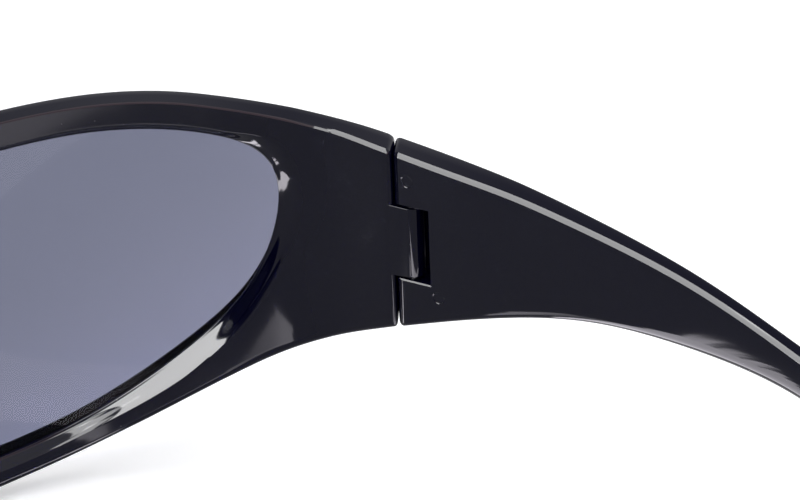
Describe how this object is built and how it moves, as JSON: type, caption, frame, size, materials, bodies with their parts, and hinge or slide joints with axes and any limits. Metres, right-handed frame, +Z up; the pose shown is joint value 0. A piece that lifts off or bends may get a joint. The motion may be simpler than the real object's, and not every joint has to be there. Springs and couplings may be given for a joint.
{
  "type": "wrap sunglasses",
  "caption": "Glossy black wrap-around sport sunglasses with smoke lenses, a one-piece front with moulded nose rests and pinned folding temples.",
  "frame": {"origin": "on the surface the glasses stand on, open, midway between the two temples and midway from the front to the temple tips", "axes": "+Z up, the front faces -Y, the temples run back along +Y, the wearer's right is -X"},
  "size_m": [0.1398, 0.163, 0.0423],
  "materials": {
    "black_frame": "polished black moulded plastic",
    "smoke_lens": "clear smoke grey tint with a faint blue cast",
    "steel_pin": "plain drawn steel"
  },
  "bodies": {
    "front": {"front_frame": "black_frame", "lens_right": "smoke_lens", "lens_left": "smoke_lens"},
    "temple_r": {"temple_right": "black_frame", "hinge_pin_right": "steel_pin"},
    "temple_l": {"temple_left": "black_frame", "hinge_pin_left": "steel_pin"}
  },
  "joints": [
    {"name": "temple_right_fold", "type": "hinge", "parent": "front", "child": "temple_r", "pos_m": [-0.06439, -0.03338, 0.0281], "axis": [0, 0, -1], "range_deg": [0, 95]},
    {"name": "temple_left_fold", "type": "hinge", "parent": "front", "child": "temple_l", "pos_m": [0.06439, -0.03338, 0.0281], "axis": [0, 0, 1], "range_deg": [0, 84]}
  ]
}
